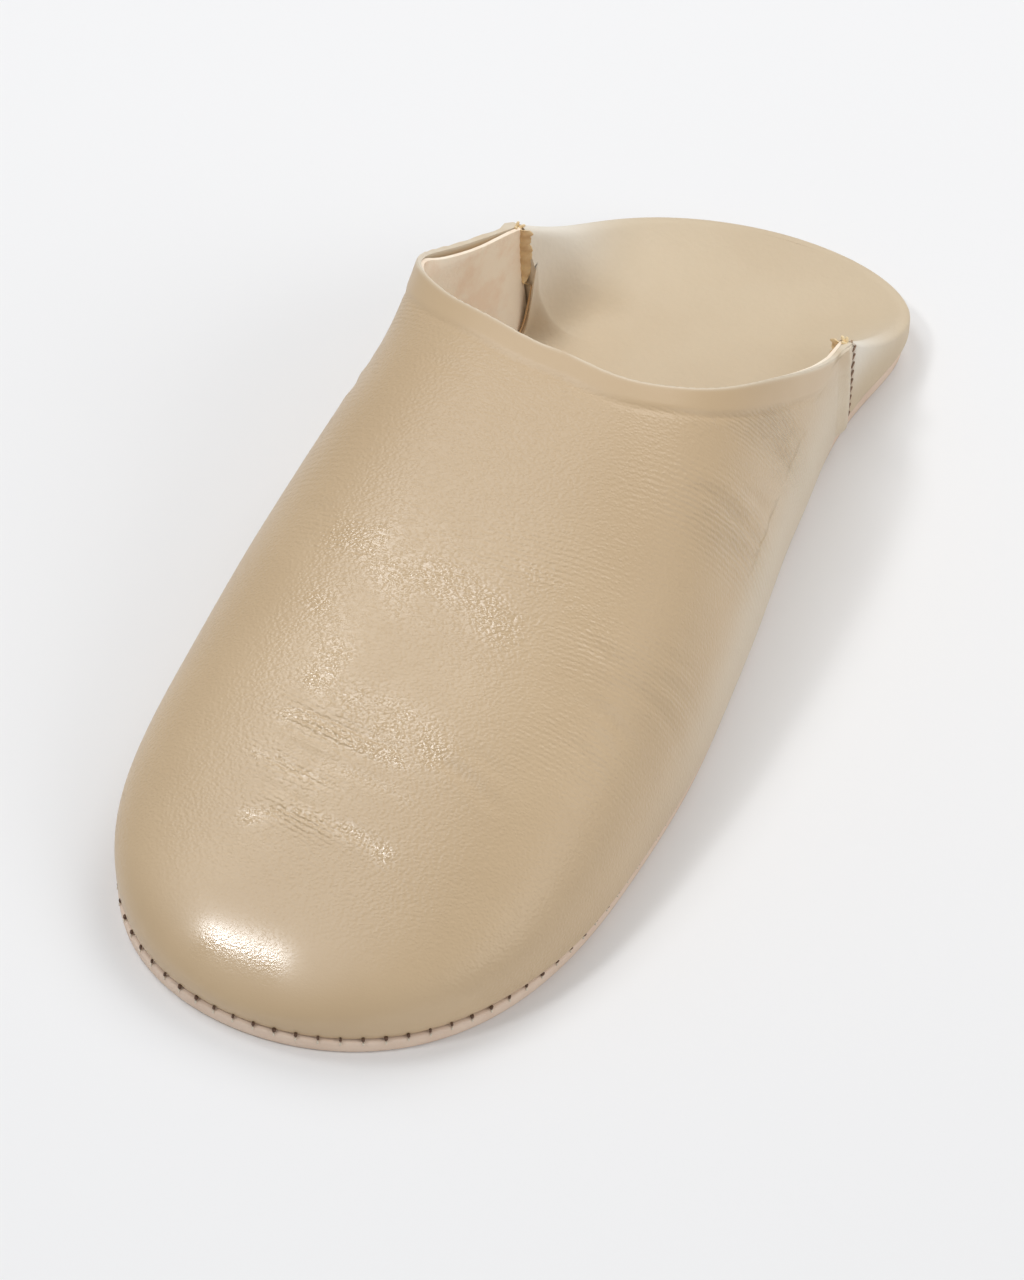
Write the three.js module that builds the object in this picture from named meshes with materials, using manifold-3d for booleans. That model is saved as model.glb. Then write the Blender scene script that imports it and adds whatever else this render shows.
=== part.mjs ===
// A babouche: a backless leather slipper with a round toe, made on a nearly straight last.
// Millimetres, +Z up. The toe points to -Y and the heel to +Y; +X is the outer (lateral) side.
// The origin is on the floor under the middle of the slipper.
//
// `along` runs from 0 at the toe tip to 1 at the back of the heel. `turn` goes round the plan
// outline: 0 at the toe, half a turn at the heel, and a full turn back at the toe. `girth` goes
// over the instep: 0 at the widest level on the lateral side, half a turn on the medial side.

import * as THREE from 'three';
import Module from 'manifold-3d';
import { mergeVertices } from 'three/addons/utils/BufferGeometryUtils.js';

const LENGTH = 270; // toe tip to heel, over the leather
const SOLE_THICKNESS = 3.2;
const SOLE_LEDGE = 0.8; // how far the sole stands out past the feather line
const INSOLE_THICKNESS = 1.2;
const UPPER_WALL = 2; // leather and lining together
const QUARTER_WALL = 4.2; // the same folded double
const FLAP_THICKNESS = 2.4;
const FIT_GAP = 0.3; // between pieces that meet
const SEAM_GAP = 0.6; // between vamp and quarter, where the stitched ridge lies

// The last, a row for each station. Half width and centre line are at the widest level, and the
// ridge is the height over the instep. A lean is how far a wall draws in towards its foot.
const LAST = [
  { along: 0.0, halfWidth: 55.8, centre: -0.3, ridge: 18.8, leanLateral: 0.0, leanMedial: 0.0 },
  { along: 0.12, halfWidth: 54.4, centre: 0.3, ridge: 29.0, leanLateral: 0.0, leanMedial: 0.0 },
  { along: 0.25, halfWidth: 53.9, centre: 0.4, ridge: 39.3, leanLateral: 0.0, leanMedial: 0.2 },
  { along: 0.38, halfWidth: 54.2, centre: -0.7, ridge: 49.8, leanLateral: 0.0, leanMedial: 1.0 },
  { along: 0.52, halfWidth: 51.6, centre: -2.8, ridge: 61.0, leanLateral: 0.2, leanMedial: 3.0 },
  { along: 0.68, halfWidth: 47.4, centre: -5.5, ridge: 68.0, leanLateral: 0.5, leanMedial: 4.5 },
  { along: 0.84, halfWidth: 41.8, centre: -2.9, ridge: 68.0, leanLateral: 0.5, leanMedial: 4.0 },
  { along: 1.0, halfWidth: 54.5, centre: 2.6, ridge: 68.0, leanLateral: 0.0, leanMedial: 0.0 },
];

// How the outline and the ridge close: over what share of the length, and how square.
const TOE_PLAN = { share: 0.36, power: 3.45 };
const HEEL_PLAN = { share: 0.3, power: 4 };
const TOE_RISE = { share: 0.3, power: 2.4 };

// A section is a super-ellipse that stands on the widest level, with these two powers.
const WIDEST_LEVEL = 6;
const SECTION_POWER = { across: 3.3, up: 2.55 };
const FEATHER_CURL = 2.1; // inset of the feather line below the widest level
const LEAN_TOP = 32; // the walls are upright above this level

// The throat, from the lateral wing over the instep to the medial wing, girths in degrees.
const THROAT = [
  { girth: 16.4, along: 0.809 },
  { girth: 18, along: 0.78 },
  { girth: 26, along: 0.727 },
  { girth: 40, along: 0.66 },
  { girth: 55, along: 0.605 },
  { girth: 70, along: 0.571 },
  { girth: 84, along: 0.557 },
  { girth: 98, along: 0.572 },
  { girth: 115, along: 0.594 },
  { girth: 130, along: 0.627 },
  { girth: 141, along: 0.667 },
  { girth: 150, along: 0.719 },
  { girth: 157.4, along: 0.797 },
];

// The throat's medial shoulder stands out from the last by this much, over this girth and length.
const FLARE = { out: 4.6, girth: 139, spread: 16, reach: 0.12 };

// The back quarter, trodden down into the heel seat. The fold drops from each wing to the heel.
const HEEL_FOLD_HEIGHT = 9;
const FOLD_DROP = { lateral: 4.6, medial: 3 };
const FOLD_ROUND = 1.3; // how far the fold's shoulders lie below its crest
const DISH_POWER = 4; // how flat the flap is between its upturned sides
const FLAP_FRONT = 0.7; // where the flap's free edge meets the sides of the vamp
const FLAP_BOW = 9; // how far its middle reaches ahead of that
const FLAP_OVERLAP = 0.05; // share of the length by which its front runs under the seat block
const FLAP_STEP = 0.1; // how much lower its front lies than the seat

const FEATHER_LEVEL = SOLE_THICKNESS + FIT_GAP;
const INSOLE_TOP = FEATHER_LEVEL + INSOLE_THICKNESS;
const FLAP_UNDERSIDE = INSOLE_TOP + FIT_GAP;
const SEAT_LEVEL = FLAP_UNDERSIDE + FLAP_THICKNESS;

const LATERAL_WING = THROAT[0];
const MEDIAL_WING = THROAT[THROAT.length - 1];

// How finely each surface is divided.
const STATIONS = 26;
const THROAT_COLUMNS = 36;
const WALL_COLUMNS = 4;
const CURL_LEVELS = [0, 0.35, 0.7]; // shares of the way up from the feather line
const QUARTER_STATIONS = 24;
const QUARTER_WALL_STEPS = 3;
const FOLD_STEPS = 4;
const FLAP_SIDE_STEPS = 12;
const FLAP_BOW_STEPS = 16;
const DISH_COLUMNS = 24;
const OUTLINE_POINTS = 120;

const wasm = await Module();
wasm.setup();

const clamp = THREE.MathUtils.clamp;
const lerp = THREE.MathUtils.lerp;
const radians = THREE.MathUtils.degToRad;
const steps = (count) => Array.from({ length: count + 1 }, (_, i) => i / count);

// ---- the last --------------------------------------------------------------------------------

// A smooth curve through one column of a table, its slope at each row set by the rows beside it.
function tableValue(table, key, column, at) {
  const last = table.length - 1;
  let row = 0;
  while (row < last - 1 && at >= table[row + 1][key]) row += 1;
  const slope = (index) => {
    const before = table[Math.max(index - 1, 0)];
    const after = table[Math.min(index + 1, last)];
    return (after[column] - before[column]) / (after[key] - before[key]);
  };
  const here = table[row];
  const next = table[row + 1];
  const width = next[key] - here[key];
  const s = (at - here[key]) / width;
  return (
    (2 * s ** 3 - 3 * s ** 2 + 1) * here[column] +
    (3 * s ** 2 - 2 * s ** 3) * next[column] +
    (s ** 3 - 2 * s ** 2 + s) * width * slope(row) +
    (s ** 3 - s ** 2) * width * slope(row + 1)
  );
}

const station = (column, along) => tableValue(LAST, 'along', column, along);

// 0 at an end of the slipper, rising to 1 once past the share of the length that it takes.
function closing({ share, power }, distance) {
  const open = 1 - clamp(distance / share, 0, 1);
  return Math.sqrt(1 - open ** power);
}

function halfWidth(along) {
  return station('halfWidth', along) * closing(TOE_PLAN, along) * closing(HEEL_PLAN, 1 - along);
}

function riseOverInstep(along) {
  return (station('ridge', along) - WIDEST_LEVEL) * closing(TOE_RISE, along);
}

const alongAt = (turn) => (1 - Math.cos(turn)) / 2;
const turnAt = (along, side) => (side > 0 ? 0 : 2 * Math.PI) + side * Math.acos(1 - 2 * along);
const yAt = (along) => LENGTH * (along - 0.5);

function outline(turn) {
  const along = alongAt(turn);
  const side = Math.sin(turn) < 0 ? -1 : 1;
  return new THREE.Vector2(station('centre', along) + side * halfWidth(along), yAt(along));
}

// The direction into the slipper from its outline.
function inward(turn) {
  const step = 1e-3;
  const tangent = outline(turn + step).sub(outline(turn - step)).normalize();
  return new THREE.Vector2(-tangent.y, tangent.x);
}

// How far the wall draws in at a level, by its lean and by the curl under the widest level.
function wallInset(turn, z) {
  const along = alongAt(turn);
  const lateral = clamp(0.5 + 4 * Math.sin(turn), 0, 1);
  const lean = lerp(station('leanMedial', along), station('leanLateral', along), lateral);
  const below = Math.max(LEAN_TOP - z, 0) / (LEAN_TOP - FEATHER_LEVEL);
  const curl = Math.max(WIDEST_LEVEL - z, 0) / (WIDEST_LEVEL - FEATHER_LEVEL);
  return Math.max(lean, 0) * below ** 1.5 + FEATHER_CURL * curl ** 2;
}

// A point of the wall at a level, moved in by any more that is asked for.
function wallPoint(turn, z, extra = 0) {
  const flat = outline(turn).addScaledVector(inward(turn), wallInset(turn, z) + extra);
  return new THREE.Vector3(flat.x, flat.y, z);
}

// A point of the section's super-ellipse, before the wall's lean and the throat's flare.
function sectionPoint(along, girth) {
  const across = Math.cos(girth);
  const reach = halfWidth(along) * Math.abs(across) ** (2 / SECTION_POWER.across);
  const up = Math.abs(Math.sin(girth)) ** (2 / SECTION_POWER.up);
  return new THREE.Vector3(
    station('centre', along) + Math.sign(across) * reach,
    yAt(along),
    WIDEST_LEVEL + riseOverInstep(along) * up,
  );
}

// Below 1 inside the section's super-ellipse at a point, and above 1 outside it.
function fullness(point) {
  const along = clamp(point.y / LENGTH + 0.5, 1e-5, 1 - 1e-5);
  const across = Math.abs(point.x - station('centre', along)) / halfWidth(along);
  const up = Math.max(point.z - WIDEST_LEVEL, 0) / riseOverInstep(along);
  return across ** SECTION_POWER.across + up ** SECTION_POWER.up;
}

// The direction out of the leather: the way that the fullness grows fastest.
function outwardNormal(point) {
  const step = 1e-3;
  const slope = ['x', 'y', 'z'].map((axis) => {
    const ahead = point.clone();
    const behind = point.clone();
    ahead[axis] += step;
    behind[axis] -= step;
    return fullness(ahead) - fullness(behind);
  });
  return new THREE.Vector3(...slope).normalize();
}

// How far back the vamp reaches at a girth: to the seam under a wing, to the throat between them.
function vampEnd(girth) {
  const degrees = THREE.MathUtils.radToDeg(girth);
  return tableValue(THROAT, 'girth', 'along', clamp(degrees, LATERAL_WING.girth, MEDIAL_WING.girth));
}

function flareAt(along, girth) {
  const aside = (girth - radians(FLARE.girth)) / radians(FLARE.spread);
  const near = 1 - clamp((vampEnd(girth) - along) / FLARE.reach, 0, 1);
  return FLARE.out * Math.exp(-(aside ** 2)) * near ** 2;
}

// A point of the vamp, this deep in the leather from its outside.
function vampPoint(along, girth, depth) {
  const point = sectionPoint(along, girth);
  const normal = along < 1e-6 ? new THREE.Vector3(0, -1, 0) : outwardNormal(point);
  const turn = turnAt(along, Math.cos(girth) < 0 ? -1 : 1);
  const lean = inward(turn).multiplyScalar(wallInset(turn, point.z));
  point.add(new THREE.Vector3(lean.x, lean.y, 0));
  return point.addScaledVector(normal, flareAt(along, girth) - depth);
}

// ---- from points to closed meshes ------------------------------------------------------------

// A skin over rows of closed loops. Points that coincide are made one, and the flat triangles
// that this leaves are dropped, so a loop that folds onto itself closes its end.
function skinOver(rows, lastLoopFaces) {
  const count = rows[0].length;
  const faces = [];
  for (let row = 0; row < rows.length - 1; row += 1) {
    for (let i = 0; i < count; i += 1) {
      const a = row * count + i;
      const b = row * count + ((i + 1) % count);
      faces.push([a, b + count, b], [a, a + count, b + count]);
    }
  }
  const lastRow = (rows.length - 1) * count;
  faces.push(...lastLoopFaces.map((face) => face.map((i) => lastRow + i)));
  const geometry = new THREE.BufferGeometry().setFromPoints(rows.flat());
  geometry.setIndex(faces.flat());
  return closedGeometry(geometry);
}

function closedGeometry(source) {
  source.deleteAttribute('normal');
  source.deleteAttribute('uv');
  const merged = mergeVertices(source, 1e-4);
  const old = merged.getIndex().array;
  const kept = [];
  for (let i = 0; i < old.length; i += 3) {
    const [a, b, c] = old.slice(i, i + 3);
    if (a !== b && b !== c && c !== a) kept.push(a, b, c);
  }
  merged.setIndex(kept);
  return merged;
}

function toSolid(geometry) {
  const vertProperties = new Float32Array(geometry.getAttribute('position').array);
  const triVerts = new Uint32Array(geometry.getIndex().array);
  return new wasm.Manifold(new wasm.Mesh({ numProp: 3, vertProperties, triVerts }));
}

function fromSolid(solid) {
  const { vertProperties, triVerts } = solid.getMesh();
  const geometry = new THREE.BufferGeometry();
  geometry.setAttribute('position', new THREE.BufferAttribute(vertProperties, 3));
  geometry.setIndex(new THREE.BufferAttribute(triVerts, 1));
  return geometry;
}

// A flat sheet of leather with this outline, between two levels.
function sheet(outlinePoints, bottom, top) {
  const geometry = new THREE.ExtrudeGeometry(new THREE.Shape(outlinePoints), {
    depth: top - bottom,
    bevelEnabled: false,
  });
  geometry.translate(0, 0, bottom);
  return closedGeometry(geometry);
}

// ---- the pieces ------------------------------------------------------------------------------

const flatten = (point) => new THREE.Vector2(point.x, point.y);

function wholeOutline(insetAt) {
  return steps(OUTLINE_POINTS).slice(0, -1).map((share) => {
    const turn = share * 2 * Math.PI;
    return flatten(wallPoint(turn, FEATHER_LEVEL, insetAt(turn)));
  });
}

function makeOutsole() {
  return sheet(wholeOutline(() => -SOLE_LEDGE), 0, SOLE_THICKNESS);
}

// The wall is double behind the wings, so the insole draws in there.
function insoleInset(turn) {
  const behind = THREE.MathUtils.smoothstep(alongAt(turn), 0.72, MEDIAL_WING.along - 0.01);
  return lerp(UPPER_WALL, QUARTER_WALL, behind);
}

function makeInsole() {
  return sheet(wholeOutline((turn) => insoleInset(turn) + FIT_GAP), FEATHER_LEVEL, INSOLE_TOP);
}

// The columns of the vamp: up the lateral curl and wall, over to the medial wing, and down again.
function vampColumns() {
  const lateral = radians(LATERAL_WING.girth);
  const medial = radians(MEDIAL_WING.girth);
  const girths = [
    ...steps(WALL_COLUMNS).map((s) => lerp(0, lateral, s)).slice(0, -1),
    ...steps(THROAT_COLUMNS).map((s) => lerp(lateral, medial, s)),
    ...steps(WALL_COLUMNS).map((s) => lerp(medial, Math.PI, s)).slice(1),
  ];
  const curl = (side, wing) => CURL_LEVELS.map((level) => {
    return { side, end: wing.along, z: lerp(FEATHER_LEVEL, WIDEST_LEVEL, level) };
  });
  return [
    ...curl(1, LATERAL_WING),
    ...girths.map((girth) => ({ girth, end: vampEnd(girth) })),
    ...curl(-1, MEDIAL_WING).reverse(),
  ];
}

// Each row is a loop over the outside and back along the lining, from the toe tip to the edges.
function makeUpper() {
  const columns = vampColumns();
  const pointOf = (column, share, depth) => {
    const along = alongAt(share * Math.acos(1 - 2 * column.end));
    if (column.girth !== undefined) return vampPoint(along, column.girth, depth);
    return wallPoint(turnAt(along, column.side), column.z, depth);
  };
  const rows = steps(STATIONS).map((share) => [
    ...columns.map((column) => pointOf(column, share, 0)),
    ...columns.map((column) => pointOf(column, share, UPPER_WALL)).reverse(),
  ]);
  const count = columns.length;
  const edge = [];
  for (let i = 0; i < count - 1; i += 1) {
    const inside = 2 * count - 1 - i;
    edge.push([i, inside - 1, i + 1], [i, inside, inside - 1]);
  }
  return skinOver(rows, edge);
}

// How high the fold stands, from the wing's height at the seam to the heel.
function foldHeight(share, wingHeight, drop) {
  return HEEL_FOLD_HEIGHT + (wingHeight - HEEL_FOLD_HEIGHT) * (1 - share) ** drop;
}

// One side of the quarter's section: up the outside of the wall, then a half round over the fold.
function quarterSide(turn, height) {
  const shoulder = height - FOLD_ROUND;
  const curl = CURL_LEVELS.map((level) => lerp(FEATHER_LEVEL, WIDEST_LEVEL, level));
  const wall = steps(QUARTER_WALL_STEPS).map((share) => lerp(WIDEST_LEVEL, shoulder, share));
  const fold = steps(FOLD_STEPS).slice(1).map((share) => {
    const angle = share * Math.PI;
    const inset = (QUARTER_WALL * (1 - Math.cos(angle))) / 2;
    return wallPoint(turn, shoulder + FOLD_ROUND * Math.sin(angle), inset);
  });
  return [...[...curl, ...wall].map((z) => wallPoint(turn, z)), ...fold];
}

// The quarter's sections, from the heel, where both sides come together, to the wing seams.
// Each goes up the medial wall, over its fold, across the dish and down the lateral wall.
function seatRows() {
  const wingHeight = (wing) => vampPoint(wing.along, radians(wing.girth), 0).z;
  const seam = (wing, side) => turnAt(wing.along + SEAM_GAP / LENGTH, side);
  return steps(QUARTER_STATIONS).reverse().map((share) => {
    const lateral = quarterSide(
      lerp(seam(LATERAL_WING, 1), Math.PI, share),
      foldHeight(share, wingHeight(LATERAL_WING), FOLD_DROP.lateral),
    );
    const medial = quarterSide(
      lerp(seam(MEDIAL_WING, -1), Math.PI, share),
      foldHeight(share, wingHeight(MEDIAL_WING), FOLD_DROP.medial),
    );
    const from = medial.at(-1);
    const to = lateral.at(-1);
    const dish = steps(DISH_COLUMNS).slice(1, -1).map((s) => {
      const aside = 1 - 2 * s;
      const rim = aside > 0 ? from.z : to.z;
      const point = from.clone().lerp(to, s);
      point.z = lerp(SEAT_LEVEL, rim, Math.abs(aside) ** DISH_POWER);
      return point;
    });
    return [...medial, ...dish, ...lateral.reverse()];
  });
}

// The flap's front, which lies on the insole inside the vamp and ends in a bowed edge.
function makeFlapFront() {
  const back = MEDIAL_WING.along + FLAP_OVERLAP;
  const sideEdge = (side) => steps(FLAP_SIDE_STEPS).map((share) => {
    const turn = turnAt(lerp(FLAP_FRONT, back, share), side);
    return flatten(wallPoint(turn, FEATHER_LEVEL, insoleInset(turn) + 2 * FIT_GAP));
  });
  const lateral = sideEdge(1);
  const medial = sideEdge(-1);
  const pull = medial[0].clone().lerp(lateral[0], 0.5);
  pull.y -= 2 * FLAP_BOW;
  const bow = new THREE.QuadraticBezierCurve(medial[0], pull, lateral[0]).getPoints(FLAP_BOW_STEPS);
  const points = [...bow, ...lateral.slice(1), ...medial.slice(1).reverse()];
  return sheet(points, FEATHER_LEVEL, SEAT_LEVEL - FLAP_STEP);
}

function makeHeelQuarter() {
  const rows = seatRows();
  const seamLoop = rows.at(-1).map((point) => new THREE.Vector2(point.x, point.z));
  const block = skinOver(rows, THREE.ShapeUtils.triangulateShape(seamLoop, []));
  const room = sheet(wholeOutline(insoleInset), 0, FLAP_UNDERSIDE);
  return fromSolid(toSolid(block).add(toSolid(makeFlapFront())).subtract(toSolid(room)));
}

// ---- the slipper -----------------------------------------------------------------------------

function leather(color, roughness) {
  return new THREE.MeshStandardMaterial({ color, roughness, metalness: 0 });
}

function addPiece(group, name, geometry, material) {
  geometry.computeVertexNormals();
  const mesh = new THREE.Mesh(geometry, material);
  mesh.name = name;
  group.add(mesh);
}

const slipper = new THREE.Group();
addPiece(slipper, 'outsole', makeOutsole(), leather(0xdbc9b5, 0.7));
addPiece(slipper, 'upper', makeUpper(), leather(0xcfba9b, 0.45));
addPiece(slipper, 'heel_quarter', makeHeelQuarter(), leather(0xd3c1a9, 0.5));
addPiece(slipper, 'insole', makeInsole(), leather(0xd8c4ac, 0.75));

export default slipper;
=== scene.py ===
"""A leather babouche slipper: the finish of every piece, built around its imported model.

Shapes are worked out in millimetres on the slipper's last, and made in metres.
`along` runs from 0 at the toe tip to 1 at the back of the heel, `turn` goes round the plan
outline from the toe, and `girth` goes over the instep from the lateral to the medial side.
"""
from math import cos, pi, radians, sin

import bmesh
import bpy
import numpy as np
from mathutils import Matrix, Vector


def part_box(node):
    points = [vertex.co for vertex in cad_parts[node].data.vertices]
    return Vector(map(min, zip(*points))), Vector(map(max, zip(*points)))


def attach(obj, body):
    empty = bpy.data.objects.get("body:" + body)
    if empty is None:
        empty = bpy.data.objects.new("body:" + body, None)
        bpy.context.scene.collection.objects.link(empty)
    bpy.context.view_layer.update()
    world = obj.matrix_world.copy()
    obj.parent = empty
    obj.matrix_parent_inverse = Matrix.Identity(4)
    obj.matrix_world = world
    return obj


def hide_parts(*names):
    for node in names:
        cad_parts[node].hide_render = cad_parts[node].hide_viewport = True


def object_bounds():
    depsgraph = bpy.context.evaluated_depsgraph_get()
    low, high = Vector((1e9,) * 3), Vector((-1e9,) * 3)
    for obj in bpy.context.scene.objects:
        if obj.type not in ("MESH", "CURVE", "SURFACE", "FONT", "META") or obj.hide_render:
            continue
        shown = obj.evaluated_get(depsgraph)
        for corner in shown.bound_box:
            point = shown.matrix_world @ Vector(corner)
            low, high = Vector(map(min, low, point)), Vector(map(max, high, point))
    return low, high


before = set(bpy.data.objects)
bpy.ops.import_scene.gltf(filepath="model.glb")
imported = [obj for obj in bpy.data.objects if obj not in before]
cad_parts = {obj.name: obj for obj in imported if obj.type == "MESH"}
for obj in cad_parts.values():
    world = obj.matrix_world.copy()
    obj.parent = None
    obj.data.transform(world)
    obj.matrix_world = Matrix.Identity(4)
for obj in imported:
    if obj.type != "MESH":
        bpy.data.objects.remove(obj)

cad_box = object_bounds()
MM = 0.001
LENGTH = (cad_box[1][1] - cad_box[0][1]) / MM
SOLE_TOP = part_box("outsole")[1][2] / MM
FEATHER_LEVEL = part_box("upper")[0][2] / MM
INSOLE_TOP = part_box("insole")[1][2] / MM

# ---- the last ----------------------------------------------------------------

LAST = {
    "along": [0.0, 0.12, 0.25, 0.38, 0.52, 0.68, 0.84, 1.0],
    "half_width": [55.8, 54.4, 53.9, 54.2, 51.6, 47.4, 41.8, 54.5],
    "centre": [-0.3, 0.3, 0.4, -0.7, -2.8, -5.5, -2.9, 2.6],
    "ridge": [18.8, 29.0, 39.3, 49.8, 61.0, 68.0, 68.0, 68.0],
    "lean_lateral": [0.0, 0.0, 0.0, 0.0, 0.2, 0.5, 0.5, 0.0],
    "lean_medial": [0.0, 0.0, 0.2, 1.0, 3.0, 4.5, 4.0, 0.0],
}
THROAT = {
    "girth": [16.4, 18, 26, 40, 55, 70, 84, 98, 115, 130, 141, 150, 157.4],
    "along": [0.809, 0.78, 0.727, 0.66, 0.605, 0.571, 0.557, 0.572, 0.594, 0.627, 0.667, 0.719, 0.797],
}
TOE_PLAN = (0.36, 3.45)  # share of the length over which an end closes, and how square it is
HEEL_PLAN = (0.3, 4)
TOE_RISE = (0.3, 2.4)
WIDEST_LEVEL = 6
ACROSS_POWER = 3.3  # how square each section is across, and up
UP_POWER = 2.55
FEATHER_CURL = 2.1  # how far the wall curls in from the widest level to the feather line
TOE_TUCK = 1.5  # how much of that the toe is tucked in at the widest level already
TUCK_TOP = 17  # the level at which the tuck begins
LEAN_TOP = 32  # the level below which the wall leans in
FLARE_OUT = 4.6  # how far the medial side of the throat stands out
FLARE_GIRTH = 139  # where it does so most, and how far round that is felt, in degrees
FLARE_SPREAD = 16
FLARE_REACH = 0.12  # share of the length from the throat's edge to where it starts
UPPER_WALL = 2.0
QUARTER_WALL = 4.2
SOLE_LEDGE = 0.8  # how far the sole stands out beyond the foot of the upper
SEAM_GAP = 0.6  # between the vamp and the quarter

# A side of the slipper is 1 laterally and -1 medially.
SEAM = {1: THROAT["along"][0], -1: THROAT["along"][-1]}
WING = {1: radians(THROAT["girth"][0]), -1: radians(THROAT["girth"][-1])}
HEEL_FOLD_HEIGHT = 9.0
FOLD_DROP = {1: 4.6, -1: 3.0}  # how quickly the fold falls from each wing to the heel
FOLD_ROUND = 1.3
FLAP_THICKNESS = 2.4
FLAP_FRONT = 0.7
FLAP_BOW = 9.0
DISH_POWER = 4  # how steeply the flap leaves its fold, and how much more so at the seams
SEWN_POWER = 9
FIT_GAP = 0.3
FLAP_UNDERSIDE = INSOLE_TOP + FIT_GAP
SEAT_LEVEL = FLAP_UNDERSIDE + FLAP_THICKNESS


def smoothstep(low, high, value):
    """0 below one value and 1 above another, rising between them as a cubic."""
    s = np.clip((value - low) / (high - low), 0, 1)
    return s * s * (3 - 2 * s)


def bell(value, middle, width):
    """1 at the middle, falling to both sides as the exponential of minus a square."""
    return np.exp(-(((value - middle) / width) ** 2))


def table_value(table, key, column, at):
    """A cubic through a table's column, its slope at a row being that between the rows beside it."""
    places = np.array(table[key], float)
    values = np.array(table[column], float)
    slopes = np.empty_like(values)
    slopes[1:-1] = (values[2:] - values[:-2]) / (places[2:] - places[:-2])
    slopes[0] = (values[1] - values[0]) / (places[1] - places[0])
    slopes[-1] = (values[-1] - values[-2]) / (places[-1] - places[-2])
    at = np.asarray(at, float)
    row = np.clip(np.searchsorted(places, at, side="right") - 1, 0, len(places) - 2)
    width = places[row + 1] - places[row]
    s = (at - places[row]) / width
    return (
        (2 * s**3 - 3 * s**2 + 1) * values[row]
        + (3 * s**2 - 2 * s**3) * values[row + 1]
        + (s**3 - 2 * s**2 + s) * width * slopes[row]
        + (s**3 - s**2) * width * slopes[row + 1]
    )


def station(column, along):
    """One of the last's measures at a place along it."""
    return table_value(LAST, "along", column, along)


def closing(shape, distance):
    """0 at an end, rising to 1: the root of 1 less a power of what is still open."""
    share, power = shape
    return np.sqrt(1 - (1 - np.clip(distance / share, 0, 1)) ** power)


def half_width(along):
    """The plan's half width: the table's, closed by a rounded end at the toe and at the heel."""
    return station("half_width", along) * closing(TOE_PLAN, along) * closing(HEEL_PLAN, 1 - along)


def rise_over_instep(along):
    """The ridge's height over the widest level, closed at the toe."""
    return (station("ridge", along) - WIDEST_LEVEL) * closing(TOE_RISE, along)


def along_at(turn):
    """The station of a turn: half of 1 less its cosine, so that stations crowd at both ends."""
    return (1 - np.cos(turn)) / 2


def turn_at(along, side):
    """The turn of a station on one side, in the first half turn laterally, the second medially."""
    angle = np.arccos(1 - 2 * np.asarray(along, float))
    return np.where(side > 0, angle, 2 * pi - angle)


def outline(turn):
    """The plan outline at the widest level: the centre line, plus or less the half width."""
    along = along_at(turn)
    side = np.where(np.sin(turn) < 0, -1, 1)
    return np.stack([station("centre", along) + side * half_width(along), LENGTH * (along - 0.5)], -1)


def inward(turn):
    """The direction into the slipper: the outline's tangent turned a quarter."""
    tangent = outline(turn + 1e-3) - outline(turn - 1e-3)
    tangent /= np.linalg.norm(tangent, axis=-1, keepdims=True)
    return np.stack([-tangent[..., 1], tangent[..., 0]], -1)


def wall_inset(turn, z):
    """How far the wall draws in: a lean below the lean's top, and a curl below the widest level, where
    the toe is tucked in already."""
    along = along_at(turn)
    lateral = np.clip(0.5 + 4 * np.sin(turn), 0, 1)
    lean = lateral * station("lean_lateral", along) + (1 - lateral) * station("lean_medial", along)
    below = np.maximum(LEAN_TOP - z, 0) / (LEAN_TOP - FEATHER_LEVEL)
    curl = np.maximum(WIDEST_LEVEL - z, 0) / (WIDEST_LEVEL - FEATHER_LEVEL)
    toe = TOE_TUCK * (1 - smoothstep(0.03, 0.2, along)) * (1 - smoothstep(WIDEST_LEVEL, TUCK_TOP, z))
    return np.maximum(lean, 0) * below**1.5 + toe + (FEATHER_CURL - toe) * np.minimum(curl, 1) ** 2


def wall_point(turn, z, extra=0.0):
    """A point of the wall at a level, moved in by its inset and by any more asked for."""
    turn, z, extra = np.broadcast_arrays(np.asarray(turn, float), z, extra)
    flat = outline(turn) + inward(turn) * (wall_inset(turn, z) + extra)[..., None]
    return np.concatenate([flat, z[..., None].astype(float)], -1)


def section_point(along, girth):
    """The section's super-ellipse: its height is a power of the girth's sine, its width of the cosine."""
    across = np.cos(girth)
    reach = half_width(along) * np.abs(across) ** (2 / ACROSS_POWER)
    height = WIDEST_LEVEL + rise_over_instep(along) * np.abs(np.sin(girth)) ** (2 / UP_POWER)
    x = station("centre", along) + np.sign(across) * reach
    return np.stack([x, LENGTH * (along - 0.5), height], -1)


def fullness(point):
    """The super-ellipse's sum at a point: 1 on the section, and more outside it."""
    along = np.clip(point[..., 1] / LENGTH + 0.5, 1e-5, 1 - 1e-5)
    across = np.abs(point[..., 0] - station("centre", along)) / half_width(along)
    up = np.maximum(point[..., 2] - WIDEST_LEVEL, 0) / rise_over_instep(along)
    return across**ACROSS_POWER + up**UP_POWER


def outward_normal(point):
    """The way that the section's fullness grows fastest, by small steps along each axis."""
    steps = 1e-3 * np.eye(3)
    slope = np.stack([fullness(point + step) - fullness(point - step) for step in steps], -1)
    return slope / np.linalg.norm(slope, axis=-1, keepdims=True)


def vamp_end(girth):
    """How far back the vamp reaches at a girth."""
    degrees = np.clip(np.degrees(girth), THROAT["girth"][0], THROAT["girth"][-1])
    return table_value(THROAT, "girth", "along", degrees)


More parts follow.
